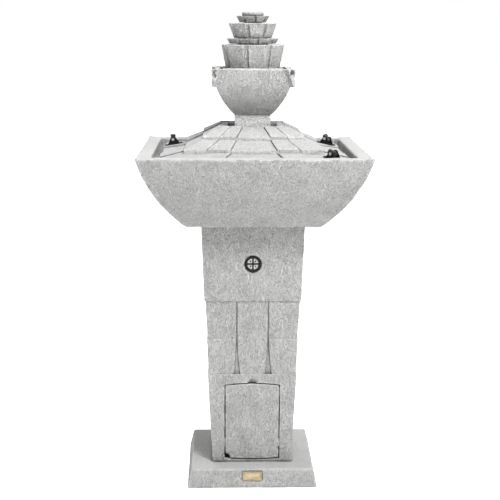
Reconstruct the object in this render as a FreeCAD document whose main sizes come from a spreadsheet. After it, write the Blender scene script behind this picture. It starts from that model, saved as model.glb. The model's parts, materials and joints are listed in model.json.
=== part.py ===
import FreeCAD, Part
import math
import os
import re
import Sketcher
from FreeCAD import Placement, Rotation, Vector

# A square pedestal water fountain cast in stone-coloured resin.  The axis of the riser pipe is X = Y = 0,
# the ground is Z = 0 and the access door faces -Y.  Lengths are in millimetres.

DRIVING = {
    "bore_r": 10.0, "wall": 13.0, "running_gap": 0.05,
    "plinth_bottom": 145.0, "plinth_top": 135.5, "plinth_low": 1.0, "plinth_high": 42.5, "plate": 10.0,
    "foot_r": 14.0, "foot_place": 118.0, "foot_tall": 5.0,
    "base_half": 89.0, "door_high": 250.0, "door_half": 99.0,
    "panel_high": 332.7, "panel_low_half": 97.4, "panel_half": 101.2,
    "dart_high": 419.8, "dart_low_half": 99.7, "dart_half": 104.5,
    "column_high": 590.6, "block_low_half": 107.0, "block_half": 113.0,
    "dart_place": 35.0, "dart_wide": 8.0, "dart_deep": 4.2, "dart_knee": 312.0, "dart_knee_wide": 2.2,
    "dart_knee_half": 100.3, "dart_knee_deep": 3.6, "dart_tip": 417.0, "dart_tip_wide": 0.9,
    "dart_tip_deep": 1.7, "lug": 18.0, "lug_high": 58.0, "column_bolt": 67.0,
    "shank_r": 4.0, "bolt_bore_r": 4.2, "screw_bore_r": 1.7,
    "opening_half": 62.0, "opening_low": 50.0, "opening_high": 226.0, "crown_r": 482.0, "sill_r": 642.0,
    "door_gap": 1.9, "notch_r": 12.0, "notch_high": 229.0, "notch_deep": 7.0, "notch_slope": 0.75,
    "cable_notch_r": 8.0, "cable_notch_x": 57.6,
    "magnet_r": 4.5, "magnet_deep": 4.5, "magnet_x": 52.0, "magnet_low": 84.0, "magnet_high": 204.0,
    "plaque_long": 43.0, "plaque_tall": 19.5, "plaque_thick": 3.5, "plaque_high": 27.0, "rivet_r": 1.3,
    "plaque_border": 1.8, "plaque_groove": 0.9, "plaque_back": 2.5, "boss": 34.0,
    "rosette_high": 503.7, "rosette_r": 18.5, "rosette_inner": 12.8, "rosette_bar": 3.0,
    "rosette_screw": 5.8, "rosette_screw_r": 1.6,
    "basin_low_half": 144.7, "basin_half": 245.5, "basin_high": 751.0, "basin_arc": 321.0,
    "basin_floor": 602.6, "rim_inner": 214.0, "rim_low": 748.0, "basin_in_half": 132.0, "basin_in_arc": 300.0,
    "basin_bolt": 70.0, "gasket_half": 100.0, "gasket_inner": 88.0, "gasket_thick": 2.0,
    "drain_y": 124.0, "drain_r": 7.0, "drain_flange_r": 9.5,
    "grommet_x": 48.0, "grommet_y": 20.0, "grommet_r": 10.0, "grommet_flange_r": 13.0,
    "pad_half": 10.0, "pad_thick": 4.0, "leg_place": 95.0, "leg_half": 9.0,
    "cover_half": 200.0, "cover_low": 731.0, "cover_edge": 739.0, "step_three_half": 150.0,
    "step_three": 747.5, "step_two_half": 148.5, "step_two_low": 754.5, "step_one_half": 110.0,
    "step_one_low": 772.5, "step_top_half": 109.0, "step_top": 778.5, "ring_half": 70.0, "ring_high": 798.0,
    "recess_half": 55.0, "recess_floor": 790.0, "tile_raise": 3.0, "tile_thick": 6.0,
    "joint_half": 0.9, "joint_deep": 1.6,
    "neck_half": 39.0, "neck_high": 822.7,
    "urn_low_half": 39.5, "urn_half": 80.0, "urn_turn": 887.0, "urn_high": 925.0, "urn_arc": 154.0,
    "shoulder_half": 76.8, "shoulder_low": 878.0, "shoulder_high": 898.0, "shoulder_arc": 71.0,
    "urn_floor": 838.0, "urn_in_low": 33.0, "urn_inner": 72.0, "urn_in_arc": 140.0,
    "lower_cup_low": 905.0, "lower_cup_high": 974.5, "lower_cup_low_r": 56.5, "lower_cup_r": 69.8,
    "lower_ring_low": 976.5, "lower_ring_high": 987.5, "lower_ring_low_r": 51.0, "lower_ring_r": 57.6,
    "upper_cup_low": 988.5, "upper_cup_high": 1020.5, "upper_cup_low_r": 41.5, "upper_cup_r": 54.0,
    "upper_ring_low": 1022.0, "upper_ring_high": 1036.0, "upper_ring_low_r": 29.0, "upper_ring_r": 36.8,
    "top_cup_high": 1045.0, "top_cup_r": 24.0,
    "cup_step": 4.8, "petal_lip": 2.4, "ring_step": 6.0, "petal_wall": 6.0,
    "pump_half": 28.0, "pump_front": 30.0, "pump_back": 50.0, "pump_low": 608.0, "pump_high": 656.0,
    "pump_axis": 632.0, "chamber_r": 14.0, "chamber_deep": 9.0, "intake_thick": 12.0,
    "shaft_r": 1.5, "impeller_r": 12.0, "hub_r": 3.5, "slider_long": 12.0,
    "pipe_r": 7.0, "pipe_bore": 5.2, "pipe_low": 662.0, "pipe_high": 1035.0,
    "lamp_pivot": 12.0, "lamp_r": 5.0, "lamp_front": 11.0, "lamp_back": 7.5, "lamp_cheek": 6.5,
    "lamp_screw_r": 1.5, "lamp_long": 40.0, "lamp_wide": 18.0, "lamp_plate": 2.5,
}

UPRIGHT = Rotation(Vector(1, 0, 0), 90)
QUARTERS = (0, 90, 180, 270)
CORNERS = ((-1, -1), (1, -1), (1, 1), (-1, 1))
PETALS = 8
PETAL_FLAT = 35.0

doc = FreeCAD.newDocument("tiered_water_fountain")
dims = doc.addObject("Spreadsheet::Sheet", "dims")
for row, (alias, number) in enumerate(DRIVING.items(), 1):
    dims.set(f"A{row}", alias)
    dims.set(f"B{row}", str(number))
    dims.setAlias(f"B{row}", alias)
doc.recompute()
nodes = []


# ---- expressions and plain solids ----

def bound(text):
    """Point every sheet name in an expression at the sheet."""
    return re.sub(r"[a-z_]+", lambda word: f"dims.{word[0]}" if word[0] in DRIVING else word[0], str(text))


def value(text):
    return float(dims.evalExpression(str(text)))


def bind(item, **expressions):
    for name, text in expressions.items():
        item.setExpression(name, bound(text))


def seat(item, x=0, y=0, z=0, turn=None):
    """Place an item; the position follows the sheet."""
    item.Placement = Placement(Vector(), turn or Rotation())
    for axis, text in zip("xyz", (x, y, z)):
        item.setExpression(f"Placement.Base.{axis}", bound(text))
    return item


def box(name, x, y, low, long, wide, tall):
    """A box centred on x, y that stands on low."""
    item = doc.addObject("Part::Box", name)
    bind(item, Length=long, Width=wide, Height=tall)
    return seat(item, f"({x}) - ({long}) / 2", f"({y}) - ({wide}) / 2", low)


def rod(name, x, y, z, radius, length, turn=None):
    item = doc.addObject("Part::Cylinder", name)
    bind(item, Radius=radius, Height=length)
    return seat(item, x, y, z, turn)


def cone(name, x, y, z, low_radius, high_radius, length, turn=None):
    item = doc.addObject("Part::Cone", name)
    bind(item, Radius1=low_radius, Radius2=high_radius, Height=length)
    return seat(item, x, y, z, turn)


def hexagon(name, x, y, z, radius, tall):
    item = doc.addObject("Part::Prism", name)
    item.Polygon = 6
    bind(item, Circumradius=radius, Height=tall)
    return seat(item, x, y, z)


def taper(name, low, high, bottom, top, turn=0):
    """A solid between two level rectangles (x0, x1, y0, y1), turned about the fountain's axis."""
    item = doc.addObject("Part::Wedge", name)
    bind(item, Xmin=bottom[0], Xmax=bottom[1], Zmin=f"-({bottom[3]})", Zmax=f"-({bottom[2]})")
    bind(item, X2min=top[0], X2max=top[1], Z2min=f"-({top[3]})", Z2max=f"-({top[2]})")
    bind(item, Ymin=low, Ymax=high)
    item.Placement = Placement(Vector(), Rotation(Vector(0, 0, 1), turn) * UPRIGHT)
    return item


def frustum(name, low, high, low_half, high_half):
    bottom = (f"-({low_half})", low_half, f"-({low_half})", low_half)
    top = (f"-({high_half})", high_half, f"-({high_half})", high_half)
    return taper(name, low, high, bottom, top)


def fuse(name, items):
    if len(items) == 1:
        return items[0]
    item = doc.addObject("Part::MultiFuse", name)
    item.Shapes = items
    item.Refine = True
    return item


def cut(name, base, tools):
    item = doc.addObject("Part::Cut", name)
    item.Base = base
    item.Tool = fuse(name + "_tools", tools)
    return item


def common(name, first, second):
    item = doc.addObject("Part::MultiCommon", name)
    item.Shapes = [first, second]
    return item


def group(name, items):
    item = doc.addObject("Part::Compound", name)
    item.Links = items
    return item


def keep(item, node):
    item.Label = node
    nodes.append(item)
    return item


# ---- sketches ----

def draw(sketch, corners, arcs):
    """Draw a closed outline; arcs maps an edge to a signed radius, positive where it bulges outwards."""
    points = [Vector(value(x), value(y), 0) for x, y in corners]
    starts = []
    for edge, start in enumerate(points):
        end = points[(edge + 1) % len(points)]
        if edge not in arcs:
            sketch.addGeometry(Part.LineSegment(start, end))
            starts.append(1)
            continue
        radius = value(arcs[edge])
        chord = end - start
        sagitta = abs(radius) - math.sqrt(radius ** 2 - (chord.Length / 2) ** 2)
        outward = Vector(chord.y, -chord.x, 0).normalize() * math.copysign(sagitta, radius)
        sketch.addGeometry(Part.Arc(start, (start + end) / 2 + outward, end))
        starts.append(1 if sketch.getPoint(edge, 1).distanceToPoint(start) < sagitta / 2 else 2)
        row = sketch.addConstraint(Sketcher.Constraint("Radius", edge, abs(radius)))
        sketch.setExpression(f"Constraints[{row}]", f"abs({bound(arcs[edge])})")
    for edge, (x, y) in enumerate(corners):
        following = (edge + 1) % len(corners)
        joined = (edge, 3 - starts[edge], following, starts[following])
        sketch.addConstraint(Sketcher.Constraint("Coincident", *joined))
        for kind, text in (("DistanceX", x), ("DistanceY", y)):
            fixed = Sketcher.Constraint(kind, -1, 1, edge, starts[edge], value(text))
            row = sketch.addConstraint(fixed)
            sketch.setExpression(f"Constraints[{row}]", bound(text))


def prism(name, corners, arcs, length, turn=UPRIGHT, y=0):
    """An outline in the XZ plane, thickened evenly both ways from y."""
    sketch = doc.addObject("Sketcher::SketchObject", name + "_outline")
    draw(sketch, corners, arcs)
    seat(sketch, 0, y, 0, turn)
    item = doc.addObject("Part::Extrusion", name)
    item.Base = sketch
    item.DirMode = "Normal"
    item.Solid = True
    item.Symmetric = True
    bind(item, LengthFwd=length)
    return item


def square_solid(name, side, arcs):
    """A solid with a square plan, whose half width goes through side (half, z) from the bottom up."""
    count = len(side)
    corners = list(side) + [(f"-({half})", z) for half, z in reversed(side)]
    both = dict(arcs)
    for edge, radius in arcs.items():
        both[2 * count - 2 - edge] = radius
    length = "2.2 * (" + side[-1][0] + ") + 2 * cover_half"
    across = prism(name + "_across", corners, both, length)
    along = prism(name + "_along", corners, both, length, Rotation(Vector(0, 0, 1), 90) * UPRIGHT)
    return common(name, across, along)


def origin_plane(body, role):
    return next(plane for plane in body.Origin.OriginFeatures if plane.Role == role)


def body_sketch(body, name, role, corners, arcs=None, height=0):
    sketch = body.newObject("Sketcher::SketchObject", name)
    sketch.AttachmentSupport = [(origin_plane(body, role), "")]
    sketch.MapMode = "FlatFace"
    sketch.setExpression("AttachmentOffset.Base.z", bound(height))
    draw(sketch, corners, arcs or {})
    return sketch


def turned(name, corners, arcs=None, x=0, y=0, z=0, turn=None):
    """A body turned about its own Z axis from an outline of (radius, z)."""
    body = doc.addObject("PartDesign::Body", name)
    sketch = body_sketch(body, name + "_outline", "XZ_Plane", corners, arcs)
    revolution = body.newObject("PartDesign::Revolution", name + "_turned")
    revolution.Profile = sketch
    revolution.ReferenceAxis = (sketch, ["V_Axis"])
    revolution.Angle = 360
    return seat(body, x, y, z, turn)


def ring(name, inner, outer, low, high, x=0, y=0):
    return turned(name, [(inner, low), (outer, low), (outer, high), (inner, high)], None, x, y)


# ---- plinth ----

def at_corners(maker, place):
    """One solid at each corner of a square, in one list."""
    return [maker(index, f"{sx} * ({place})", f"{sy} * ({place})") for index, (sx, sy) in enumerate(CORNERS)]


def face_box(name, z, long, tall, low, deep, slope, face):
    """A box that lies on the leaning front face, from low to deep behind it."""
    item = doc.addObject("Part::Box", name)
    bind(item, Length=long, Width=f"({deep}) - ({low})", Height=tall)
    lean = value(slope)
    item.Placement = Placement(Vector(), Rotation(Vector(1, 0, 0), -lean))
    start = f"-({face}) + ({low}) * cos({slope}) - ({tall}) / 2 * sin({slope})"
    rise = f"({z}) - ({low}) * sin({slope}) - ({tall}) / 2 * cos({slope})"
    for axis, text in zip("xyz", (f"-({long}) / 2", start, rise)):
        item.setExpression(f"Placement.Base.{axis}", bound(text))
    return item


PLINTH_SLOPE = "atan((plinth_bottom - plinth_top) / (plinth_high - plinth_low))"
PLAQUE_FACE = ("plinth_bottom - (plaque_high - plinth_low)"
               " * (plinth_bottom - plinth_top) / (plinth_high - plinth_low)")


def make_plinth():
    outer = frustum("plinth_outer", "plinth_low", "plinth_high", "plinth_bottom", "plinth_top")
    soft = doc.addObject("Part::Fillet", "plinth_soft")
    soft.Base = outer
    doc.recompute()
    edges = [(index, 3.0, 3.0) for index, edge in enumerate(outer.Shape.Edges, 1)
             if edge.BoundBox.ZMax > value("plinth_high") - 1]
    soft.Edges = edges
    inside = frustum("plinth_inside", "plinth_low - 1", "plinth_high - plate",
                     "plinth_bottom - wall", "plinth_top - wall")
    hollow = cut("plinth_hollow", soft, [inside])
    bosses = at_corners(lambda i, x, y: box(f"plinth_boss_{i}", x, y, "plinth_low", "boss", "boss", "boss"),
                        "foot_place")
    whole = fuse("plinth_whole", [hollow] + bosses)
    pockets = at_corners(lambda i, x, y: rod(f"foot_pocket_{i}", x, y, 0, "foot_r", "foot_tall"), "foot_place")
    holes = at_corners(lambda i, x, y: rod(f"plinth_hole_{i}", x, y, 20, "bolt_bore_r", 30), "column_bolt")
    middle = rod("plinth_middle", 0, 0, 20, 30, 40)
    seat_for_plaque = face_box("plaque_seat", "plaque_high", "plaque_long + 4", "plaque_tall + 4",
                               -4, "plaque_back", PLINTH_SLOPE, PLAQUE_FACE)
    keep(cut("plinth_cut", whole, pockets + holes + [middle, seat_for_plaque]), "plinth")
    feet = at_corners(lambda i, x, y: rod(f"foot_{i}", x, y, 0, "foot_r", "foot_tall"), "foot_place")
    keep(group("plinth_feet_group", feet), "plinth_feet")


def make_plaque():
    blank = face_box("plaque_blank", "plaque_high", "plaque_long", "plaque_tall",
                     "plaque_back - plaque_thick", "plaque_back", PLINTH_SLOPE, PLAQUE_FACE)
    rounded = doc.addObject("Part::Fillet", "plaque_rounded")
    rounded.Base = blank
    doc.recompute()
    rounded.Edges = [(index, 2.5, 2.5) for index, edge in enumerate(blank.Shape.Edges, 1)
                     if abs(edge.Length - value("plaque_thick")) < 0.01]
    lean = Rotation(Vector(1, 0, 0), 90 - value(PLINTH_SLOPE))
    pins = []
    holes = []
    for side in (-1, 1):
        x = f"{side} * (plaque_long / 2 - 5)"
        hole = rod(f"rivet_hole_{side + 1}", x, f"-({PLAQUE_FACE})", "plaque_high", "rivet_r", 8, lean)
        holes.append(hole)
        pins.append(rod(f"rivet_{side + 1}", x, f"-({PLAQUE_FACE})", "plaque_high", "rivet_r", 1.5, lean))
    border_out = face_box("plaque_border_out", "plaque_high", "plaque_long - 2 * plaque_border",
                          "plaque_tall - 2 * plaque_border", -2, -0.5, PLINTH_SLOPE, PLAQUE_FACE)
    margin = "2 * (plaque_border + plaque_groove)"
    border_in = face_box("plaque_border_in", "plaque_high", f"plaque_long - {margin}",
                         f"plaque_tall - {margin}", -3, 1, PLINTH_SLOPE, PLAQUE_FACE)
    groove = cut("plaque_groove_ring", border_out, [border_in])
    keep(cut("plaque_cut", rounded, holes + [groove]), "nameplate")
    keep(group("rivet_group", pins), "nameplate_rivets")


# ---- column and door ----

def opening_corners(gap):
    half = f"opening_half - {gap}"
    low = f"opening_low + {gap}"
    high = f"opening_high - {gap}"
    return [(f"-({half})", low), (half, low), (half, high), (f"-({half})", high)]


OPENING_ARCS = {0: "sill_r", 2: "crown_r"}
ROSETTE_FACE = ("block_low_half + (rosette_high - dart_high) * (block_half - block_low_half)"
                " / (column_high - dart_high)")


def make_column():
    outside = [
        frustum("column_foot", "plinth_high", "door_high", "base_half", "door_half"),
        frustum("column_panel", "door_high", "panel_high", "panel_low_half", "panel_half"),
        frustum("column_darts", "panel_high", "dart_high", "dart_low_half", "dart_half"),
        frustum("column_block", "dart_high", "column_high", "block_low_half", "block_half"),
    ]
    for turn in QUARTERS:
        low = ("-dart_place", "dart_place", "-panel_half", "0")
        high = ("-dart_place", "dart_place", "-dart_half", "0")
        outside.append(taper(f"middle_stave_{turn}", "panel_high", "dart_high", low, high, turn))
    outer = fuse("column_outer", outside)
    inside = frustum("column_inside", "plinth_high - 1", "column_high - plate - 2",
                     "base_half - wall", "dart_half - wall")
    darts = []
    for turn in QUARTERS:
        for side in (-1, 1):
            centre = f"{side} * dart_place"
            bottom = (f"{centre} - dart_wide", f"{centre} + dart_wide",
                      "-panel_low_half - 20", "-panel_low_half + dart_deep")
            knee = (f"{centre} - dart_knee_wide", f"{centre} + dart_knee_wide",
                    "-dart_knee_half - 20", "-dart_knee_half + dart_knee_deep")
            top = (f"{centre} - dart_tip_wide", f"{centre} + dart_tip_wide",
                   "-dart_half - 20", "-dart_half + dart_tip_deep")
            darts.append(taper(f"dart_{turn}_{side + 1}", "door_high", "dart_knee", bottom, knee, turn))
            darts.append(taper(f"dart_line_{turn}_{side + 1}", "dart_knee", "dart_tip", knee, top, turn))
    shell = cut("column_shell", outer, [inside] + darts)
    lugs = at_corners(lambda i, x, y: box(f"lug_{i}", x, y, "plinth_high", "lug", "lug",
                                          "lug_high - plinth_high"), "base_half - wall + 1 - lug / 2")
    whole = fuse("column_whole", [shell] + lugs)
    doorway = prism("doorway", opening_corners("0"), OPENING_ARCS, 60, UPRIGHT, "-base_half")
    notch = cone("finger_notch", 0, "-door_half - 3", "notch_high", "notch_r + 3 * notch_slope",
                 "notch_r - notch_deep * notch_slope", "3 + notch_deep", Rotation(Vector(1, 0, 0), -90))
    bolts = at_corners(lambda i, x, y: rod(f"lug_hole_{i}", x, y, 40, "bolt_bore_r", 30), "column_bolt")
    tops = at_corners(lambda i, x, y: rod(f"top_hole_{i}", x, y, 570, "bolt_bore_r", 30), "basin_bolt")
    way = rod("cable_way", "grommet_x", "grommet_y", 570, "grommet_flange_r", 30)
    gasket_seat = "column_high - gasket_thick"
    groove_out = box("groove_out", 0, 0, gasket_seat, "2 * gasket_half", "2 * gasket_half", 20)
    groove_in = box("groove_in", 0, 0, 500, "2 * gasket_inner", "2 * gasket_inner", 200)
    groove = cut("gasket_groove", groove_out, [groove_in])
    rosette_pit = rod("rosette_pit", 0, f"-({ROSETTE_FACE}) + 4", "rosette_high", "rosette_r + 0.3", 20,
                      Rotation(Vector(1, 0, 0), 90))
    back = Rotation(Vector(1, 0, 0), -90)
    keeper_holes = [rod(f"keeper_hole_{i}", x, f"{column_inner(z)} - 7", z, "screw_bore_r", 20, back)
                    for i, (x, z) in enumerate(keeper_screw_places())]
    keep(cut("column_cut", whole,
             [doorway, notch, way, groove, rosette_pit] + bolts + tops + keeper_holes), "column")
    gasket_out = box("gasket_out", 0, 0, gasket_seat, "2 * gasket_half", "2 * gasket_half", "gasket_thick")
    gasket_in = box("gasket_in", 0, 0, 500, "2 * gasket_inner", "2 * gasket_inner", 200)
    keep(cut("gasket_cut", gasket_out, [gasket_in]), "basin_gasket")


def door_back(z):
    """Where the back of the door lies at height z."""
    return f"(-(base_half - wall) - ({z} - plinth_high) * (door_half - base_half) / (door_high - plinth_high))"


def column_inner(z):
    """Where the inner face of the column's front wall lies at height z."""
    rise = "(column_high - plate - 2 - plinth_high + 1)"
    return f"(-(base_half - wall) - ({z} - plinth_high + 1) * (dart_half - base_half) / {rise})"


def magnet_places():
    return [(f"{side} * magnet_x", z) for side in (-1, 1) for z in ("magnet_low", "magnet_high")]


def keeper_screw_places():
    return [(f"{side} * (opening_half + 7)", z) for side in (-1, 1) for z in ("magnet_low", "magnet_high")]


def make_door():
    outer = frustum("door_outer", "plinth_high", "door_high", "base_half", "door_half")
    inner = frustum("door_inner", "plinth_high - 1", "door_high + 1", "base_half - wall", "door_half - wall")
    shell = cut("door_shell", outer, [inner])
    slab = prism("door_slab", opening_corners("door_gap"), OPENING_ARCS, 60, UPRIGHT, "-base_half")
    panel = common("door_panel", slab, shell)
    back = Rotation(Vector(1, 0, 0), -90)
    cable = rod("cable_notch", "-cable_notch_x", "-base_half - 30", "opening_low + 3.5", "cable_notch_r",
                60, back)
    magnets = []
    pockets = []
    for index, (x, z) in enumerate(magnet_places()):
        front = f"{door_back(z)} - magnet_deep"
        long = f"{column_inner(z)} - ({front})"
        pockets.append(rod(f"magnet_pocket_{index}", x, front, z, "magnet_r", 30, back))
        magnets.append(rod(f"magnet_{index}", x, front, z, "magnet_r", long, back))
    keep(cut("door_cut", panel, [cable] + pockets), "access_door")
    keep(group("magnet_group", magnets), "door_magnets")


def make_keepers():
    plates = []
    screws = []
    forward = Rotation(Vector(1, 0, 0), 90)
    for index, ((x, z), (plate_x, _)) in enumerate(zip(keeper_screw_places(), magnet_places())):
        middle = f"({x} + {plate_x}) / 2"
        face = column_inner(z)
        plate = box(f"keeper_plate_{index}", middle, f"{face} + 1.8", f"{z} - 9", 30, 3, 18)
        hole = rod(f"keeper_bore_{index}", x, f"{face} + 10", z, "screw_bore_r", 20, forward)
        plates.append(cut(f"keeper_{index}", plate, [hole]))
        shank = rod(f"keeper_shank_{index}", x, f"{face} + 3.3", z, 1.5, 9, forward)
        head = rod(f"keeper_head_{index}", x, f"{face} + 5.3", z, 3.4, 2, forward)
        screws.append(fuse(f"keeper_screw_{index}", [shank, head]))
    keep(group("keeper_group", plates), "door_keepers")
    keep(group("keeper_screw_group", screws), "keeper_screws")


def make_rosette():
    forward = Rotation(Vector(1, 0, 0), 90)
    deep = f"-({ROSETTE_FACE}) + 4"
    disc = rod("rosette_disc", 0, deep, "rosette_high", "rosette_r", 3, forward)
    top = f"{deep} - 3"
    rim_out = rod("rosette_rim_out", 0, top, "rosette_high", "rosette_r", 2.2, forward)
    rim_in = rod("rosette_rim_in", 0, f"{top} + 5", "rosette_high", "rosette_inner", 20, forward)
    rim = cut("rosette_rim", rim_out, [rim_in])
    bars = [box("rosette_bar_level", 0, f"{top} - 1.1", "rosette_high - rosette_bar / 2",
                "2 * rosette_r - 4", 2.2, "rosette_bar"),
            box("rosette_bar_upright", 0, f"{top} - 1.1", "rosette_high - rosette_r + 2",
                "rosette_bar", 2.2, "2 * rosette_r - 4")]
    screws = []
    bores = []
    for index, (sx, sz) in enumerate(CORNERS):
        x = f"{sx} * rosette_screw"
        z = f"rosette_high + {sz} * rosette_screw"
        shank = rod(f"rosette_shank_{index}", x, f"{deep}", z, 0.8, 3, forward)
        head = rod(f"rosette_head_{index}", x, top, z, "rosette_screw_r", 1, forward)
        screws.append(fuse(f"rosette_screw_{index}", [shank, head]))
        bores.append(rod(f"rosette_bore_{index}", x, f"{deep} + 5", z, 0.8, 20, forward))
    keep(cut("rosette_disc_cut", disc, bores), "rosette_backing")
    keep(fuse("rosette_frame_whole", [rim] + bars), "rosette_frame")
    keep(group("rosette_screw_group", screws), "rosette_screws")


def bolt_sets(prefix, place, low, high, head_thick, washer, nut_thick, head_up):
    """Hexagon bolts at the corners, with a washer under each head and a nut at the other end."""
    bolts = []
    washers = []
    nuts = []
    head_low = f"({high}) + ({washer})" if head_up else f"({low}) - ({washer}) - {head_thick}"
    washer_low = high if head_up else f"({low}) - ({washer})"
    nut_low = f"({low}) - {nut_thick}" if head_up else high
    shank_low = f"({low}) - {nut_thick} - 3" if head_up else head_low
    shank_high = f"({high}) + ({washer}) + 1" if head_up else f"({high}) + {nut_thick} + 3"
    for index, (sx, sy) in enumerate(CORNERS):
        x = f"{sx} * ({place})"
        y = f"{sy} * ({place})"
        head = hexagon(f"{prefix}_head_{index}", x, y, head_low, 7.5, head_thick)
        shank = rod(f"{prefix}_shank_{index}", x, y, shank_low, "shank_r", f"({shank_high}) - ({shank_low})")
        bolts.append(fuse(f"{prefix}_bolt_{index}", [head, shank]))
        disc = rod(f"{prefix}_disc_{index}", x, y, washer_low, 9, washer)
        bore = rod(f"{prefix}_bore_{index}", x, y, f"({washer_low}) - 5", "bolt_bore_r", 20)
        washers.append(cut(f"{prefix}_washer_{index}", disc, [bore]))
        blank = hexagon(f"{prefix}_blank_{index}", x, y, nut_low, 7.5, nut_thick)
        thread = rod(f"{prefix}_thread_{index}", x, y, f"({nut_low}) - 5", "shank_r", 20)
        nuts.append(cut(f"{prefix}_nut_{index}", blank, [thread]))
    keep(group(f"{prefix}_bolt_group", bolts), f"{prefix}_bolts")
    keep(group(f"{prefix}_washer_group", washers), f"{prefix}_washers")
    keep(group(f"{prefix}_nut_group", nuts), f"{prefix}_nuts")


# ---- basin ----

def make_basin():
    outer = square_solid("basin_outer", [
        ("basin_low_half", "column_high"), ("basin_half", "basin_high - 4"),
        ("basin_half - 4", "basin_high"), ("rim_inner", "rim_low")], {0: "basin_arc", 1: "4"})
    inner = square_solid("basin_inner", [
        ("basin_in_half", "basin_floor"), ("rim_inner", "rim_low - 14"),
        ("rim_inner", "basin_high + 5")], {0: "basin_in_arc"})
    holes = at_corners(lambda i, x, y: rod(f"basin_hole_{i}", x, y, 580, "bolt_bore_r", 40), "basin_bolt")
    drain = rod("drain_hole", 0, "drain_y", 580, "drain_r + running_gap", 40)
    cable = rod("grommet_hole", "grommet_x", "grommet_y", 580, "grommet_r", 40)
    keep(cut("basin_cut", outer, [inner, drain, cable] + holes), "basin")


def make_basin_fittings():
    flange = "column_high - 3"
    keep(turned("drain_plug_body", [
        (0, flange), ("drain_flange_r", flange), ("drain_flange_r", "column_high"), ("drain_r", "column_high"),
        ("drain_r", "basin_floor + 1"), ("drain_r - 2", "basin_floor + 3"), (0, "basin_floor + 3")],
        None, 0, "drain_y"), "drain_plug")
    keep(turned("grommet_body", [
        (4, "column_high - 5"), ("grommet_r + 1.5", "column_high - 5"), ("grommet_r + 1.5", "column_high"),
        ("grommet_r", "column_high"), ("grommet_r", "basin_floor"), ("grommet_flange_r", "basin_floor"),
        ("grommet_flange_r", "basin_floor + 2"), (4, "basin_floor + 2")],
        None, "grommet_x", "grommet_y"), "cable_grommet")
    pads = at_corners(lambda i, x, y: box(f"pad_{i}", x, y, "basin_floor", "2 * pad_half", "2 * pad_half",
                                          "pad_thick"), "leg_place")
    keep(group("pad_group", pads), "cover_pads")


# ---- roof-shaped cover ----

TILE_ROWS = (
    ("lower", "step_three_half", "step_three", "cover_half", "cover_edge"),
    ("middle", "step_one_half", "step_one_low", "step_two_half", "step_two_low"),
    ("upper", "ring_half", "ring_high", "step_top_half", "step_top"),
)


def slope_wedge(name, row, turn, near, far, spare, below, above):
    """A wedge along one row's slope, between two lines that fan out with the side (in thirds of its half)."""
    _, inner, inner_z, outer, outer_z = row
    wedge = doc.addObject("Part::Wedge", name)
    bind(wedge, Xmin=f"{near} * {inner} / 3 - {spare}", Xmax=f"{far} * {inner} / 3 + {spare}",
         X2min=f"{near} * {outer} / 3 - {spare}", X2max=f"{far} * {outer} / 3 + {spare}",
         Ymin=inner, Ymax=outer, Zmin=f"{inner_z} - {below}", Zmax=f"{inner_z} + {above}",
         Z2min=f"{outer_z} - {below}", Z2max=f"{outer_z} + {above}")
    wedge.Placement = Placement(Vector(), Rotation(Vector(0, 0, 1), turn))
    return wedge


def raised_tiles():
    """The tiles between one and two thirds of each side stand a little proud of their neighbours."""
    return [slope_wedge(f"tile_{row[0]}_{turn}_{near + 2}", row, turn, near, near + 1, "0", "tile_thick",
                        "tile_raise")
            for row in TILE_ROWS for turn in QUARTERS for near in (-2, 1)]


def tile_joints():
    """Narrow grooves along the tiles' edges."""
    return [slope_wedge(f"joint_{row[0]}_{turn}_{line + 2}", row, turn, line, line, "joint_half", "joint_deep",
                        "tile_raise + 5")
            for row in TILE_ROWS for turn in QUARTERS for line in (-2, -1, 1, 2)]


def make_cover():
    outer = square_solid("cover_outer", [
        ("cover_half - 1", "cover_low"), ("cover_half", "cover_edge - 3"), ("cover_half - 1", "cover_edge"),
        ("step_three_half", "step_three"), ("step_two_half", "step_two_low"),
        ("step_one_half", "step_one_low"), ("step_top_half", "step_top"), ("ring_half", "ring_high")], {})
    inner = square_solid("cover_inner", [
        ("cover_half - 9", "cover_low - 5"), ("cover_half - 9", "cover_low"),
        ("step_two_half - 8", "step_three - 8"), ("step_two_half - 8", "step_two_low - 8"),
        ("step_top_half - 8", "step_one_low - 8"), ("step_top_half - 8", "step_top - 8"),
        ("recess_half - 5", "recess_floor - 8")], {})
    shell = cut("cover_shell", fuse("cover_tiled", [outer] + raised_tiles()), [inner])
    leg_low = "basin_floor + pad_thick"
    legs = at_corners(lambda i, x, y: box(f"cover_leg_{i}", x, y, leg_low, "2 * leg_half", "2 * leg_half",
                                          f"step_top - 3 - ({leg_low})"), "leg_place")
    whole = fuse("cover_whole", [shell] + legs)
    recess = box("cover_recess", 0, 0, "recess_floor", "2 * recess_half", "2 * recess_half", 30)
    bore = rod("cover_bore", 0, 0, 700, "bore_r", 200)
    keep(cut("cover_cut", whole, [recess, bore] + tile_joints()), "roof_cover")


# ---- neck, urn and tiers ----

def make_neck():
    block = box("neck_block_solid", 0, 0, "recess_floor", "2 * neck_half", "2 * neck_half",
                "neck_high - recess_floor")
    bore = rod("neck_bore", 0, 0, 700, "bore_r", 200)
    keep(cut("neck_cut", block, [bore]), "neck_block")


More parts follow.
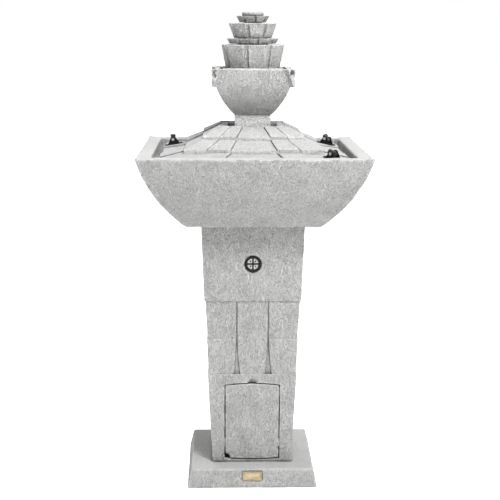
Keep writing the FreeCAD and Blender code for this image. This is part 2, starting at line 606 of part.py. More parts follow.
def make_urn():
    outer = square_solid("urn_outer", [
        ("urn_low_half", "neck_high"), ("shoulder_half", "shoulder_low"),
        ("urn_half + 1.5", "shoulder_high"), ("urn_half + 2.5", "urn_high - 3"),
        ("urn_half - 0.5", "urn_high")], {0: "urn_arc", 1: "shoulder_arc"})
    inner = square_solid("urn_cavity", [
        ("urn_in_low", "urn_floor"), ("urn_inner", "urn_turn + 4"), ("urn_inner", "urn_high + 5")],
        {0: "urn_in_arc"})
    shell = cut("urn_shell", outer, [inner])
    clips = []
    ears = []
    channels = []
    for turn in (45, 135, 225, 315):
        clips.append(taper(f"urn_clip_{turn}", "urn_turn", "urn_high + 1", ("1.414 * urn_half", 160, -60, 60),
                           ("1.414 * urn_half - 13.5", 160, -60, 60), turn))
        ears.append(taper(f"urn_ear_{turn}", "urn_turn - 1.5", "urn_high - 1.5",
                          ("1.414 * urn_half - 8", "1.414 * urn_half + 12", -2, 2),
                          ("1.414 * urn_half - 22", "1.414 * urn_half + 4", -12, 12), turn))
        lean = Rotation(Vector(0, 0, 1), turn) * Rotation(Vector(0, 1, 0), 117)
        reach = "(1.414 * urn_half - 40)"
        channels.append(rod(f"urn_channel_{turn}", f"{reach} * cos({turn})", f"{reach} * sin({turn})",
                            "urn_high + 10", 7.5, 90, lean))
    eared = fuse("urn_eared", [cut("urn_clipped", shell, clips)] + ears)
    bore = rod("urn_bore", 0, 0, 700, "bore_r", 200)
    keep(cut("urn_cut", eared, channels + [bore]), "spout_urn")


def petal_body(name, low, high, low_radius, high_radius, start, step):
    """Eight overlapping petals: a flat panel, a narrow strip that dips inwards, then a step out again."""
    body = doc.addObject("PartDesign::Body", name + "_petals")
    sketches = []
    for level, height, radius in (("low", low, low_radius), ("high", high, high_radius)):
        dip = f"({radius} - {step})"
        turn = 360 / PETALS
        corners = [("0", "0"),
                   (f"{radius} * cos({start})", f"{radius} * sin({start})"),
                   (f"{radius} * cos({start + PETAL_FLAT})", f"{radius} * sin({start + PETAL_FLAT})"),
                   (f"({radius} - petal_lip) * cos({start + PETAL_FLAT + 0.6})",
                    f"({radius} - petal_lip) * sin({start + PETAL_FLAT + 0.6})"),
                   (f"{dip} * cos({start + turn})", f"{dip} * sin({start + turn})")]
        sketches.append(body_sketch(body, f"{name}_{level}", "XY_Plane", corners, None, height))
    loft = body.newObject("PartDesign::AdditiveLoft", name + "_petal")
    loft.Profile = sketches[0]
    loft.Sections = [sketches[1]]
    loft.Ruled = True
    pattern = body.newObject("PartDesign::PolarPattern", name + "_pattern")
    pattern.Originals = [loft]
    pattern.Axis = (sketches[0], ["N_Axis"])
    pattern.Angle = 360
    pattern.Occurrences = PETALS
    body.Tip = pattern
    return body


def make_tier(node, low, high, low_radius, high_radius, start, step, trough, foot_radius, foot_low):
    petals = petal_body(node, low, high, low_radius, high_radius, start, step)
    foot = rod(node + "_foot", 0, 0, foot_low, foot_radius, f"{low} - ({foot_low}) + 1")
    whole = fuse(node + "_whole", [petals, foot])
    floor = f"({high} - {trough})"
    wide = f"({high_radius} - {step} - petal_wall)"
    bowl = cone(node + "_trough", 0, 0, floor, f"{wide} - {trough} * ({high_radius} - {low_radius})"
                f" / ({high} - {low})", wide, f"{trough}")
    mouth = rod(node + "_mouth", 0, 0, high, wide, 5)
    bore = rod(node + "_bore", 0, 0, "urn_floor - 20", "bore_r", 300)
    keep(cut(node + "_cut", whole, [bowl, mouth, bore]), node)


def make_tiers():
    make_tier("lower_tier_cup", "lower_cup_low", "lower_cup_high", "lower_cup_low_r", "lower_cup_r",
              -99.0, "cup_step", "14", "28", "urn_floor")
    make_tier("lower_petal_ring", "lower_ring_low", "lower_ring_high", "lower_ring_low_r", "lower_ring_r",
              -76.5, "ring_step", "6", "34", "lower_cup_high - 14")
    make_tier("upper_tier_cup", "upper_cup_low", "upper_cup_high", "upper_cup_low_r", "upper_cup_r",
              -99.0, "cup_step", "12", "30", "lower_ring_high - 6")
    make_tier("upper_petal_ring", "upper_ring_low", "upper_ring_high", "upper_ring_low_r", "upper_ring_r",
              -76.5, "ring_step", "6", "20", "upper_cup_high - 12")
    low = "upper_ring_high - 6"
    keep(turned("top_cup_body", [
        ("bore_r", low), ("top_cup_r - 3.5", low), ("top_cup_r", "top_cup_high - 6"),
        ("top_cup_r - 0.5", "top_cup_high - 1.5"), ("top_cup_r - 2", "top_cup_high"),
        ("top_cup_r - 5", "top_cup_high"), ("top_cup_r - 6", "top_cup_high - 2"),
        ("top_cup_r - 7", "top_cup_high - 7"), ("bore_r", "top_cup_high - 7")]), "top_cup")


# ---- pump and pipework ----

def make_pump():
    forward = Rotation(Vector(1, 0, 0), 90)
    depth = "pump_front + pump_back"
    block = box("pump_block", 0, "(pump_back - pump_front) / 2", "pump_low", "2 * pump_half", depth,
                "pump_high - pump_low")
    chamber = rod("pump_chamber", 0, "-pump_front + chamber_deep", "pump_axis", "chamber_r", 40, forward)
    socket = rod("shaft_socket", 0, 10, "pump_axis", "shaft_r", 50, forward)
    outlet = rod("pump_outlet", 0, 0, "pump_high - 12", 5, 20)
    keep(cut("pump_cut", block, [chamber, socket, outlet]), "pump_body")
    keep(rod("shaft_solid", 0, "-2", "pump_axis", "shaft_r", "pump_front + 3", forward), "impeller_shaft")
    cover = box("intake_block", 0, "-pump_front - intake_thick / 2", "pump_low", "2 * pump_half",
                "intake_thick", "pump_high - pump_low")
    hollow = rod("intake_hollow", 0, "-pump_front + 1", "pump_axis", "chamber_r", 9, forward)
    slots = [box(f"intake_slot_{i}", 0, "-pump_front - intake_thick", f"pump_axis - 11 + {i * 5}", 22, 14, 2.5)
             for i in range(5)]
    keep(cut("intake_cut", cover, [hollow] + slots), "pump_intake_cover")
    rail = "-pump_front - intake_thick - 2"
    keep(box("slider_block", 0, rail, "pump_high - 9", "slider_long", 4, 6), "flow_slider")
    feet = [cone(f"sucker_{index}", f"{sx} * 20", f"10 + {sy} * 26", "basin_floor", 8, 5,
                 "pump_low - basin_floor") for index, (sx, sy) in enumerate(CORNERS)]
    keep(group("sucker_group", feet), "pump_suction_feet")
    keep(turned("adapter_body", [
        (3.5, "pump_high - 8"), (5, "pump_high - 8"), (5, "pump_high"), (10, "pump_high"), (10, "pipe_low"),
        ("pipe_bore - running_gap", "pipe_low"), ("pipe_bore - running_gap", "pipe_low + 20"),
        (3.5, "pipe_low + 20")]), "outlet_adapter")
    keep(ring("pipe_body", "pipe_bore", "pipe_r", "pipe_low", "pipe_high"), "riser_pipe")
    clamp = ring("clamp_band", "pipe_r", "pipe_r + 1.2", "pipe_low + 6", "pipe_low + 14")
    lug = box("clamp_lug", "pipe_r + 4.5", 0, "pipe_low + 6", 7, 6, 8)
    keep(fuse("clamp_whole", [clamp, lug]), "hose_clamp")
    keep(turned("nozzle_body", [
        ("pipe_r", "pipe_high - 8"), ("pipe_r + 1.5", "pipe_high - 8"), ("pipe_r + 1.5", "pipe_high + 3"),
        (5, "pipe_high + 7"), (3, "pipe_high + 7"), (3, "pipe_high"), ("pipe_r", "pipe_high")]),
        "bubbler_nozzle")


def make_impeller():
    forward = Rotation(Vector(1, 0, 0), 90)
    body = doc.addObject("PartDesign::Body", "impeller_body")
    disc = body_sketch(body, "blade_outline", "XY_Plane", [
        ("hub_r - 1", "-0.8"), ("impeller_r", "-0.8"), ("impeller_r", "0.8"), ("hub_r - 1", "0.8")])
    blade = body.newObject("PartDesign::Pad", "blade")
    blade.Profile = disc
    bind(blade, Length="7")
    pattern = body.newObject("PartDesign::PolarPattern", "blades")
    pattern.Originals = [blade]
    pattern.Axis = (disc, ["N_Axis"])
    pattern.Angle = 360
    pattern.Occurrences = 6
    body.Tip = pattern
    hub = rod("impeller_hub", 0, 0, 0, "hub_r", 8)
    bore = rod("impeller_bore", 0, 0, -5, "shaft_r + running_gap", 30)
    whole = cut("impeller_cut", fuse("impeller_whole", [body, hub]), [bore])
    keep(seat(whole, 0, "-pump_front + 6", "pump_axis", forward), "impeller")


# ---- lamps ----

# name, side of the cover, distance from the axis, place along that side, turn of the bracket, elevation of
# the head, and whether a raised tile lies under it
LAMPS = (
    ("front_right", 270, 179.0, 165.0, -135.0, 4.0, 0),
    ("back_left", 180, 178.0, -88.0, 180.0, 80.0, 1),
    ("back_right", 0, 173.0, 90.0, 140.0, 40.0, 1),
)
COVER_SLOPE = "atan((step_three - cover_edge) / (cover_half - step_three_half))"


def lamp_seat(item, lamp, up=None, tilt=None):
    """Set an item on the sloping cover, raised along the slope's normal by up and tilted last."""
    _, side, out, along, yaw, _, tile = lamp
    frame = Rotation(Vector(0, 0, 1), side) * Rotation(Vector(0, 1, 0), value(COVER_SLOPE))
    frame = frame * Rotation(Vector(0, 0, 1), yaw)
    lift = frame.multVec(Vector(0, 0, value(up or 0)))
    place = Rotation(Vector(0, 0, 1), side).multVec(Vector(out, along, 0)) + lift
    fall = f"({out} - step_three_half) * tan({COVER_SLOPE})"
    height = f"step_three + {tile} * tile_raise + running_gap - {fall} + {lift.z}"
    return seat(item, place.x, place.y, height, frame * (tilt or Rotation()))


def make_lamp(lamp):
    name = lamp[0]
    across = Rotation(Vector(1, 0, 0), 90)
    plate = box(name + "_plate", 0, 0, 0, "lamp_long", "lamp_wide", "lamp_plate")
    cheeks = []
    for side in (-1, 1):
        outline = [("-13", "2"), ("13", "2"), ("4.5", "lamp_pivot + 4"), ("-4.5", "lamp_pivot + 4")]
        cheeks.append(prism(f"{name}_cheek_{side + 1}", outline, {2: "8"}, 2, UPRIGHT,
                            f"{side} * (lamp_cheek + 1)"))
    bore = rod(name + "_eye", 0, 20, "lamp_pivot", "lamp_screw_r + running_gap", 40, across)
    bracket = cut(name + "_bracket", fuse(name + "_frame", [plate] + cheeks), [bore])
    lamp_seat(bracket, lamp)
    shank = rod(name + "_pin", 0, "lamp_cheek + 4.5", "lamp_pivot", "lamp_screw_r", "2 * lamp_cheek + 9",
                across)
    knobs = [rod(name + "_knob", 0, "lamp_cheek + 4.5", "lamp_pivot", 3.2, 2.5, across),
             rod(name + "_stop", 0, "-lamp_cheek - 2", "lamp_pivot", 3.2, 2.5, across)]
    screw = fuse(name + "_screw", [shank] + knobs)
    lamp_seat(screw, lamp)

    along = Rotation(Vector(0, 1, 0), 90)
    barrel = rod(name + "_barrel", "-lamp_back", 0, 0, "lamp_r", "lamp_back + lamp_front", along)
    hood = rod(name + "_hood", "lamp_front - 6", 0, 0, "lamp_r + 0.9", 6, along)
    pocket = rod(name + "_pocket", "lamp_front - 4", 0, 0, "lamp_r - 0.6", 10, along)
    eye = rod(name + "_head_eye", 0, 20, 0, "lamp_screw_r + running_gap", 40, across)
    head = cut(name + "_head", fuse(name + "_shell", [barrel, hood]), [pocket, eye])
    lens = rod(name + "_lens", "lamp_front - 4", 0, 0, "lamp_r - 0.6", 1.6, along)
    glass = group(name + "_glass", [lens])
    tilt = Rotation(Vector(0, 1, 0), -lamp[5])
    keep(lamp_seat(head, lamp, "lamp_pivot", tilt), f"lamp_head_{name}")
    keep(lamp_seat(glass, lamp, "lamp_pivot", tilt), f"lamp_lens_{name}")
    return bracket, screw


def make_lamps():
    pairs = [make_lamp(lamp) for lamp in LAMPS]
    keep(group("lamp_bracket_group", [bracket for bracket, _ in pairs]), "lamp_brackets")
    keep(group("lamp_screw_group", [screw for _, screw in pairs]), "lamp_pivot_screws")


# ---- build and write ----

make_plinth()
make_plaque()
make_column()
make_door()
make_keepers()
make_rosette()
bolt_sets("plinth", "column_bolt", "plinth_high - plate", "lug_high", 5.3, "1.5", 6.5, False)
make_basin()
bolt_sets("basin", "basin_bolt", "column_high - plate - 2", "basin_floor", 5.3, "2", 6.5, True)
make_basin_fittings()
make_cover()
make_neck()
make_urn()
make_tiers()
make_pump()
make_impeller()
make_lamps()
doc.recompute()

for item in doc.Objects:
    if "Invalid" in item.State or "Error" in item.State:
        raise RuntimeError(f"{item.Name} did not build: {item.State}")
for item in nodes:
    if item.Shape.isNull() or not item.Shape.isValid() or not item.Shape.Solids:
        raise RuntimeError(f"{item.Label} has no valid solid")
os.makedirs("parts", exist_ok=True)
for item in nodes:
    item.Shape.exportStep(f"parts/{item.Label}.step")
    print(f"{item.Label}: {len(item.Shape.Solids)} solid(s), {item.Shape.Volume / 1000:.1f} cm3")
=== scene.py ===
import json
import math

import bmesh
import bpy
from mathutils import Matrix, Vector


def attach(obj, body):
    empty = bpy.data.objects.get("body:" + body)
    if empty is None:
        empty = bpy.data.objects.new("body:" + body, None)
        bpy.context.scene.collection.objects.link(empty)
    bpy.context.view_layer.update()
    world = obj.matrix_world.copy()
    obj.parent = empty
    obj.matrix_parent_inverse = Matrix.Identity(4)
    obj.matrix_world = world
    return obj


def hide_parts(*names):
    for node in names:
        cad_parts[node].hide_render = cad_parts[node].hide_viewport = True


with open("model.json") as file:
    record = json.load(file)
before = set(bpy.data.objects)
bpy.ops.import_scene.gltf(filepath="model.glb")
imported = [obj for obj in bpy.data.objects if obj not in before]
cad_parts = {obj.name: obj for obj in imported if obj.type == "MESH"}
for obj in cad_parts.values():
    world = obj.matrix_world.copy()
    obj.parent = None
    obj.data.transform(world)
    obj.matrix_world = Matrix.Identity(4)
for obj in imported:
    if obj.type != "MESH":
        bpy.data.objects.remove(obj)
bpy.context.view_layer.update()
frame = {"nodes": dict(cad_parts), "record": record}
nodes = frame["nodes"]
scene = bpy.context.scene
body_of = {node: body for body, names in frame["record"]["behaviour"]["bodies"].items() for node in names}
slot_of = {part["node"]: part["material_slot"] for part in frame["record"]["subparts"]}

IMAGE_SIDE = 500.0
SENSOR = 36.0


# ---- camera, light and floor ----

def make_camera():
    """A long lens a little to the left of the fountain's axis, level with its top and tipped down."""
    place = Vector((-0.0685, -2.6991, 1.0219))
    yaw, pitch, roll = 0.0239, 0.1859, 0.0041
    focal_pixels = 1209.9
    forward = Vector((math.sin(yaw) * math.cos(pitch), math.cos(yaw) * math.cos(pitch), -math.sin(pitch)))
    level = Vector((math.cos(yaw), -math.sin(yaw), 0))
    upright = level.cross(forward)
    right = math.cos(roll) * level + math.sin(roll) * upright
    up = math.cos(roll) * upright - math.sin(roll) * level
    data = bpy.data.cameras.new("camera")
    data.sensor_width = SENSOR
    data.lens = focal_pixels * SENSOR / IMAGE_SIDE
    camera = bpy.data.objects.new("camera", data)
    scene.collection.objects.link(camera)
    turn = Matrix((right, up, -forward)).transposed()
    camera.matrix_world = Matrix.Translation(place) @ turn.to_4x4()
    scene.camera = camera


def area_light(name, place, target, size, power):
    data = bpy.data.lights.new(name, "AREA")
    data.shape = "DISK"
    data.size = size
    data.energy = power
    lamp = bpy.data.objects.new(name, data)
    scene.collection.objects.link(lamp)
    lamp.location = place
    lamp.rotation_euler = (Vector(target) - Vector(place)).to_track_quat("-Z", "Y").to_euler()


def seen_white(tree, lighting, seen, socket):
    """A strength that is higher where the camera looks straight at it than where it lights the fountain."""
    strength = tree.nodes.new("ShaderNodeMapRange")
    strength.inputs["To Min"].default_value = lighting
    strength.inputs["To Max"].default_value = seen
    tree.links.new(tree.nodes.new("ShaderNodeLightPath").outputs["Is Camera Ray"], strength.inputs["Value"])
    tree.links.new(strength.outputs["Result"], socket)


def make_lights():
    middle = (0, 0, 0.6)
    area_light("key_softbox", (0.9, -2.0, 3.3), middle, 1.0, 150)
    area_light("top_softbox", (0.2, -0.3, 3.8), middle, 1.2, 40)
    area_light("right_softbox", (3.0, -0.8, 1.8), middle, 1.1, 24)
    area_light("left_softbox", (-2.8, -1.6, 1.6), middle, 1.6, 4)
    area_light("back_softbox", (-0.6, 3.2, 2.2), middle, 1.6, 55)
    world = bpy.data.worlds.new("studio")
    world.use_nodes = True
    tree = world.node_tree
    background = tree.nodes["Background"]
    background.inputs["Color"].default_value = (1, 1, 1, 1)
    seen_white(tree, 0.52, 1.0, background.inputs["Strength"])
    scene.world = world
    scene.view_settings.view_transform = "Standard"


def make_floor():
    reach = 30.0
    mesh = bpy.data.meshes.new("floor")
    mesh.from_pydata([(-reach, -reach, 0), (reach, -reach, 0), (reach, reach, 0), (-reach, reach, 0)], [],
                     [(0, 1, 2, 3)])
    floor = bpy.data.objects.new("floor", mesh)
    scene.collection.objects.link(floor)
    material = bpy.data.materials.new("pale_floor")
    material.use_nodes = True
    shader = material.node_tree.nodes["Principled BSDF"]
    shader.inputs["Base Color"].default_value = (0.93, 0.93, 0.93, 1)
    shader.inputs["Emission Color"].default_value = (1, 1, 1, 1)
    seen_white(material.node_tree, 0.55, 0.8, shader.inputs["Emission Strength"])
    shader.inputs["Roughness"].default_value = 0.9
    mesh.materials.append(material)


# ---- material helpers ----

class Shader:
    """A Principled material with short names for the nodes that the looks are made of."""

    def __init__(self, name, roughness=0.6, metallic=0.0):
        self.material = bpy.data.materials.new(name)
        self.material.use_nodes = True
        self.tree = self.material.node_tree
        self.main = self.tree.nodes["Principled BSDF"]
        self.main.inputs["Roughness"].default_value = roughness
        self.main.inputs["Metallic"].default_value = metallic
        self.place = self.tree.nodes.new("ShaderNodeTexCoord").outputs["Object"]

    def link(self, source, target):
        self.tree.links.new(source, target)

    def stretched(self, scale, turn=(0, 0, 0)):
        mapping = self.tree.nodes.new("ShaderNodeMapping")
        mapping.inputs["Scale"].default_value = scale
        mapping.inputs["Rotation"].default_value = turn
        self.link(self.place, mapping.inputs["Vector"])
        return mapping.outputs["Vector"]

    def noise(self, scale, detail=3.0, roughness=0.55, distortion=0.0, vector=None):
        node = self.tree.nodes.new("ShaderNodeTexNoise")
        node.inputs["Scale"].default_value = scale
        node.inputs["Detail"].default_value = detail
        node.inputs["Roughness"].default_value = roughness
        node.inputs["Distortion"].default_value = distortion
        self.link(vector or self.place, node.inputs["Vector"])
        return node.outputs["Fac"]

    def cells(self, scale, vector=None):
        node = self.tree.nodes.new("ShaderNodeTexVoronoi")
        node.inputs["Scale"].default_value = scale
        self.link(vector or self.place, node.inputs["Vector"])
        return node.outputs["Distance"]

    def spread(self, value, low, high, to_low=0.0, to_high=1.0):
        node = self.tree.nodes.new("ShaderNodeMapRange")
        node.inputs["From Min"].default_value = low
        node.inputs["From Max"].default_value = high
        node.inputs["To Min"].default_value = to_low
        node.inputs["To Max"].default_value = to_high
        self.link(value, node.inputs["Value"])
        return node.outputs["Result"]

    def math(self, operation, first, second):
        node = self.tree.nodes.new("ShaderNodeMath")
        node.operation = operation
        for socket, value in zip(node.inputs, (first, second)):
            if isinstance(value, (int, float)):
                socket.default_value = value
            else:
                self.link(value, socket)
        return node.outputs["Value"]

    def ramp(self, value, stops):
        node = self.tree.nodes.new("ShaderNodeValToRGB")
        while len(node.color_ramp.elements) < len(stops):
            node.color_ramp.elements.new(0.5)
        for element, (position, colour) in zip(node.color_ramp.elements, stops):
            element.position = position
            element.color = (*colour, 1)
        self.link(value, node.inputs["Fac"])
        return node.outputs["Color"]

    def mix(self, factor, first, second, blend="MIX"):
        node = self.tree.nodes.new("ShaderNodeMix")
        node.data_type = "RGBA"
        node.blend_type = blend
        factor_socket, first_socket, second_socket = node.inputs[0], node.inputs[6], node.inputs[7]
        for socket, value in ((factor_socket, factor), (first_socket, first), (second_socket, second)):
            if isinstance(value, (int, float)):
                socket.default_value = value
            elif isinstance(value, tuple):
                socket.default_value = (*value, 1)
            else:
                self.link(value, socket)
        return node.outputs[2]

    def edges(self, low, high):
        geometry = self.tree.nodes.new("ShaderNodeNewGeometry")
        return self.spread(geometry.outputs["Pointiness"], low, high)

    def upward(self, low, high):
        geometry = self.tree.nodes.new("ShaderNodeNewGeometry")
        parts = self.tree.nodes.new("ShaderNodeSeparateXYZ")
        self.link(geometry.outputs["Normal"], parts.inputs["Vector"])
        return self.spread(parts.outputs["Z"], low, high)

    def hollows(self, reach):
        node = self.tree.nodes.new("ShaderNodeAmbientOcclusion")
        node.samples = 8
        node.inputs["Distance"].default_value = reach
        return node.outputs["AO"]

    def colour(self, value):
        self.link(value, self.main.inputs["Base Color"])

    def rough(self, value):
        self.link(value, self.main.inputs["Roughness"])

    def bump(self, height, distance, strength=1.0):
        node = self.tree.nodes.new("ShaderNodeBump")
        node.inputs["Strength"].default_value = strength
        node.inputs["Distance"].default_value = distance
        self.link(height, node.inputs["Height"])
        self.link(node.outputs["Normal"], self.main.inputs["Normal"])


# ---- materials ----

def cast_stone(name, light, dark, stroke_turn=(0, 0, 0), relief=0.009, top_paleness_and_light=0.62):
    """Pale cast stone: short brushed strokes, pits and blotches; hollows darkened as painted shade, edges
    lightened as a painted highlight, and upward faces paler, partly the stone's own tone and partly painted
    light from above.
    """
    look = Shader(name, 0.9)
    brushed = look.stretched((1.0, 1.0, 0.4), stroke_turn)
    strokes = look.noise(235, 3.0, 0.6, 1.8, brushed)
    crumbs = look.noise(330, 2.0, 0.6)
    blotches = look.noise(30, 4.0, 0.62)
    clouds = look.noise(7, 3.0, 0.5)
    pits = look.spread(look.cells(110), 0.05, 0.24)
    tone = look.math("ADD", look.math("MULTIPLY", strokes, 0.5), look.math("MULTIPLY", crumbs, 0.22))
    tone = look.math("ADD", tone, look.math("MULTIPLY", blotches, 0.16))
    tone = look.math("ADD", tone, look.math("MULTIPLY", clouds, 0.12))
    stone = look.ramp(tone, ((0.42, dark), (0.58, light)))
    # Upward faces mixed towards a paler tone: partly the stone's own tone on top, partly painted light from
    # above.
    tops_paler_and_lit = look.math("MULTIPLY", look.upward(0.2, 0.75), top_paleness_and_light)
    stone = look.mix(tops_paler_and_lit, stone, tuple(min(0.86, value * 1.55) for value in light))
    # Painted highlight: edges found by pointiness are lightened, broken up by noise.
    edge_amount = look.math("MULTIPLY", look.edges(0.505, 0.55), look.spread(look.noise(55, 3.0), 0.42, 0.56))
    stone = look.mix(edge_amount, stone, tuple(min(1.0, value * 1.25) for value in light))
    stone = look.mix(look.spread(pits, 0.0, 1.0, 0.35, 0.0), stone, tuple(value * 0.55 for value in dark))
    # Painted shade: hollows found by ambient occlusion are darkened towards a third of the dark tone.
    painted_hollow_shade = look.spread(look.hollows(0.008), 0.35, 0.9, 0.92, 0.0)
    stone = look.mix(painted_hollow_shade, stone, tuple(value * 0.3 for value in dark))
    look.colour(stone)
    look.rough(look.spread(strokes, 0.3, 0.7, 0.96, 0.8))
    height = look.math("ADD", look.math("MULTIPLY", strokes, 1.0), look.math("MULTIPLY", crumbs, 0.4))
    height = look.math("ADD", height, look.math("MULTIPLY", pits, 0.35))
    look.bump(height, relief)
    return look.material


def black_plastic(name="black_plastic", shade=0.016):
    look = Shader(name, 0.5)
    grain = look.noise(900, 3.0)
    wear = look.noise(60, 4.0, 0.65)
    dusty = tuple(shade * 2.6 for _ in range(3))
    look.colour(look.ramp(wear, ((0.45, (shade, shade, shade)), (0.75, dusty))))
    look.rough(look.spread(wear, 0.3, 0.7, 0.42, 0.62))
    look.bump(grain, 0.00012, 0.6)
    return look.material


def black_paint():
    look = Shader("black_paint", 0.45)
    look.main.inputs["Specular IOR Level"].default_value = 0.2
    drips = look.noise(300, 4.0, 0.6)
    wear = look.noise(90, 5.0, 0.7)
    look.colour(look.ramp(wear, ((0.5, (0.006, 0.006, 0.006)), (0.82, (0.022, 0.021, 0.02)))))
    look.rough(look.spread(wear, 0.3, 0.7, 0.5, 0.75))
    look.bump(drips, 0.0003, 0.7)
    return look.material


def brass():
    look = Shader("aged_brass", 0.38, 0.85)
    brushed = look.noise(160, 4.0, 0.6, 0.0, look.stretched((0.15, 1.0, 1.0)))
    stains = look.noise(130, 5.0, 0.65)
    metal = look.ramp(brushed, ((0.3, (0.46, 0.37, 0.22)), (0.7, (0.64, 0.55, 0.37))))
    metal = look.mix(look.spread(stains, 0.5, 0.75, 0.0, 0.7), metal, (0.22, 0.17, 0.1))
    look.colour(look.mix(look.spread(look.hollows(0.003), 0.4, 0.9, 0.9, 0.0), metal, (0.03, 0.02, 0.012)))
    look.rough(look.spread(stains, 0.3, 0.7, 0.3, 0.55))
    look.bump(brushed, 0.0001, 0.5)
    return look.material


def steel():
    look = Shader("zinc_plated_steel", 0.35, 1.0)
    grain = look.noise(420, 4.0, 0.6, 0.0, look.stretched((1.0, 1.0, 0.2)))
    spangle = look.cells(260)
    look.colour(look.ramp(spangle, ((0.0, (0.5, 0.51, 0.52)), (0.8, (0.7, 0.7, 0.69)))))
    look.rough(look.spread(grain, 0.3, 0.7, 0.26, 0.46))
    look.bump(grain, 0.0001, 0.5)
    return look.material


def rubber():
    look = Shader("black_rubber", 0.8)
    dust = look.noise(120, 4.0, 0.6)
    look.colour(look.ramp(dust, ((0.4, (0.018, 0.018, 0.018)), (0.75, (0.06, 0.058, 0.055)))))
    look.rough(look.spread(dust, 0.3, 0.7, 0.7, 0.9))
    look.bump(look.noise(1100, 3.0), 0.0002, 0.6)
    return look.material


def blue_plastic():
    look = Shader("blue_plastic", 0.3)
    flow = look.noise(140, 4.0, 0.6)
    look.colour(look.ramp(flow, ((0.35, (0.03, 0.09, 0.32)), (0.7, (0.06, 0.16, 0.5)))))
    look.rough(look.spread(flow, 0.3, 0.7, 0.22, 0.4))
    look.bump(flow, 0.0001, 0.4)
    return look.material


def vinyl():
    look = Shader("clear_vinyl", 0.25)
    haze = look.noise(80, 4.0, 0.6)
    look.colour(look.ramp(haze, ((0.35, (0.55, 0.6, 0.58)), (0.7, (0.75, 0.8, 0.77)))))
    look.rough(look.spread(haze, 0.3, 0.7, 0.15, 0.35))
    look.main.inputs["Transmission Weight"].default_value = 0.5
    look.bump(haze, 0.0002, 0.4)
    return look.material


def lens_glass():
    look = Shader("lens_glass", 0.08)
    ripple = look.cells(900)
    look.colour(look.ramp(ripple, ((0.0, (0.8, 0.86, 0.9)), (0.8, (0.97, 0.98, 1.0)))))
    look.main.inputs["Transmission Weight"].default_value = 0.7
    look.main.inputs["IOR"].default_value = 1.49
    look.bump(ripple, 0.0004, 0.7)
    return look.material


# ---- castings ----

def cloud_texture(name, size, depth=2):
    texture = bpy.data.textures.new(name, "CLOUDS")
    texture.noise_scale = size
    texture.noise_depth = depth
    return texture


WAVES = cloud_texture("hand_cast_waves", 0.035)
LUMPS = cloud_texture("hand_cast_lumps", 0.009, 3)


def push(piece, name, texture, strength):
    modifier = piece.modifiers.new(name, "DISPLACE")
    modifier.texture = texture
    modifier.texture_coords = "GLOBAL"
    modifier.mid_level = 0.5
    modifier.strength = strength


def hand_finished(piece, node, material, wave, lump):
    push(piece, "waves", WAVES, wave)
    push(piece, "lumps", LUMPS, lump)
    evaluated = piece.evaluated_get(bpy.context.evaluated_depsgraph_get())
    skin = bpy.data.meshes.new_from_object(evaluated)
    piece.modifiers.clear()
    piece.data = skin
    skin.materials.clear()
    skin.materials.append(material)
    skin.shade_smooth()
    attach(piece, body_of[node])
    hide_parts(node)
    return piece


def casting(node, voxel, material, wave=0.0016, lump=0.0009, rounds=2):
    """The node's shape as a hand-finished casting: softened edges, slow waves and small lumps."""
    piece = bpy.data.objects.new(node + "_casting", nodes[node].data.copy())
    scene.collection.objects.link(piece)
    remesh = piece.modifiers.new("skin", "REMESH")
    remesh.mode = "VOXEL"
    remesh.voxel_size = voxel
    soften = piece.modifiers.new("soften", "SMOOTH")
    soften.factor = 0.5
    soften.iterations = rounds
    return hand_finished(piece, node, material, wave, lump)


UPPER_ROWS = (0.0702, 0.149)
UPPER_ROWS_LOW = 0.75
HALF_JOINT = 0.0012
TILE_STEP = 0.0032


def lift_outer_tiles(grid):
    """In the two upper rows the tiles beside the cover's hips stand proud of their neighbours."""
    grid.normal_update()
    inner, outer = UPPER_ROWS
    for vert in grid.verts:
        near, far = sorted((abs(vert.co.x), abs(vert.co.y)))
        beside_hip = inner < far < outer and near > far * 2 / 3 + HALF_JOINT
        if beside_hip and vert.normal.z > 0.5 and vert.co.z > UPPER_ROWS_LOW:
            vert.co.z += TILE_STEP


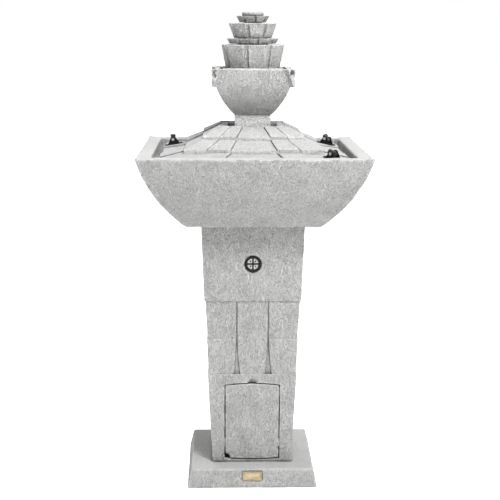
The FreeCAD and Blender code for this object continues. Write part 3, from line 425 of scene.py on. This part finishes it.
def crisp_casting(node, pitch, material, wave=0.0012, lump=0.0010, edge_amount=0.0009, reshape=None):
    """A casting whose ledges stay crisp: edges rounded a little by wear, then a fine grid of cuts that carries
    the relief.
    """
    mesh = nodes[node].data.copy()
    grid = bmesh.new()
    grid.from_mesh(mesh)
    bmesh.ops.remove_doubles(grid, verts=grid.verts, dist=1e-6)
    bmesh.ops.dissolve_limit(grid, angle_limit=0.02, verts=grid.verts, edges=grid.edges)
    sharp = [edge for edge in grid.edges if len(edge.link_faces) == 2 and edge.calc_face_angle(0) > 0.45
             and edge.calc_length() > 4 * edge_amount]
    bmesh.ops.bevel(grid, geom=sharp, offset=edge_amount, segments=2, profile=0.5, affect="EDGES", clamp_overlap=True)
    for axis in range(3):
        normal = [0, 0, 0]
        normal[axis] = 1
        low = min(vert.co[axis] for vert in grid.verts)
        high = max(vert.co[axis] for vert in grid.verts)
        for step in range(1, int((high - low) / pitch) + 1):
            place = [0, 0, 0]
            place[axis] = low + (step - 0.37) * pitch
            bmesh.ops.bisect_plane(grid, geom=grid.verts[:] + grid.edges[:] + grid.faces[:], dist=1e-5,
                                   plane_co=place, plane_no=normal)
    if reshape:
        reshape(grid)
    bmesh.ops.triangulate(grid, faces=grid.faces)
    grid.to_mesh(mesh)
    grid.free()
    piece = bpy.data.objects.new(node + "_casting", mesh)
    scene.collection.objects.link(piece)
    hand_finished(piece, node, material, wave, lump)
    piece.data.set_sharp_from_angle(angle=0.7)
    return piece


def make_castings():
    # Roof, urn, tiers and neck get paler copies of the stone. These are partly their own tone and partly
    # painted light, which makes up for shade under the urn and on the tiers and for the light falling on the
    # roof.
    stone = cast_stone("cast_stone", (0.505, 0.505, 0.5), (0.30, 0.30, 0.295), (0.0, 0.6, 0.0))
    pale = cast_stone("pale_cast_stone_with_painted_light", (0.60, 0.60, 0.595), (0.42, 0.42, 0.415), (0.0, 1.2, 0.0),
                      relief=0.007, top_paleness_and_light=0.04)
    light_stone = cast_stone("light_cast_stone_with_painted_light", (0.585, 0.585, 0.58), (0.37, 0.37, 0.365), (0.0, 0.6, 0.0),
                             top_paleness_and_light=0.4)
    chalky = cast_stone("chalky_cast_stone_with_painted_light", (0.80, 0.80, 0.79), (0.62, 0.62, 0.61), (0.0, 1.2, 0.0))
    casting("plinth", 0.0022, stone)
    crisp_casting("column", 0.0040, stone)
    casting("access_door", 0.0014, stone, 0.0008, 0.0008)
    casting("basin", 0.0030, stone, 0.0022, 0.0014)
    crisp_casting("roof_cover", 0.0040, pale, reshape=lift_outer_tiles)
    casting("neck_block", 0.0011, chalky, 0.0008)
    casting("spout_urn", 0.0013, light_stone, 0.0012)
    casting("lower_tier_cup", 0.0011, light_stone, 0.0008, 0.0006, 1)
    casting("lower_petal_ring", 0.0009, light_stone, 0.0008, 0.0006, 1)
    casting("upper_tier_cup", 0.0009, light_stone, 0.0008, 0.0006, 1)
    casting("upper_petal_ring", 0.0008, light_stone, 0.0006, 0.0005, 1)
    casting("top_cup", 0.0009, light_stone, 0.0006, 0.0005, 6)


# ---- fittings that keep their CAD shape ----

def dress_fittings():
    looks = {
        "black_paint": black_paint(), "brass": brass(), "steel": steel(), "rubber": rubber(),
        "black_plastic": black_plastic(), "blue_plastic": blue_plastic(), "clear_hose": vinyl(),
        "lens": lens_glass(),
        "rosette_stone": cast_stone("rosette_stone", (0.78, 0.78, 0.77), (0.62, 0.62, 0.61), (0.0, 0.6, 0.0),
                                    relief=0.003),
    }
    for node, piece in nodes.items():
        look = looks.get(slot_of[node])
        if look is None:
            continue
        piece.data.materials.clear()
        piece.data.materials.append(look)


make_camera()
make_lights()
make_floor()
make_castings()
dress_fittings()
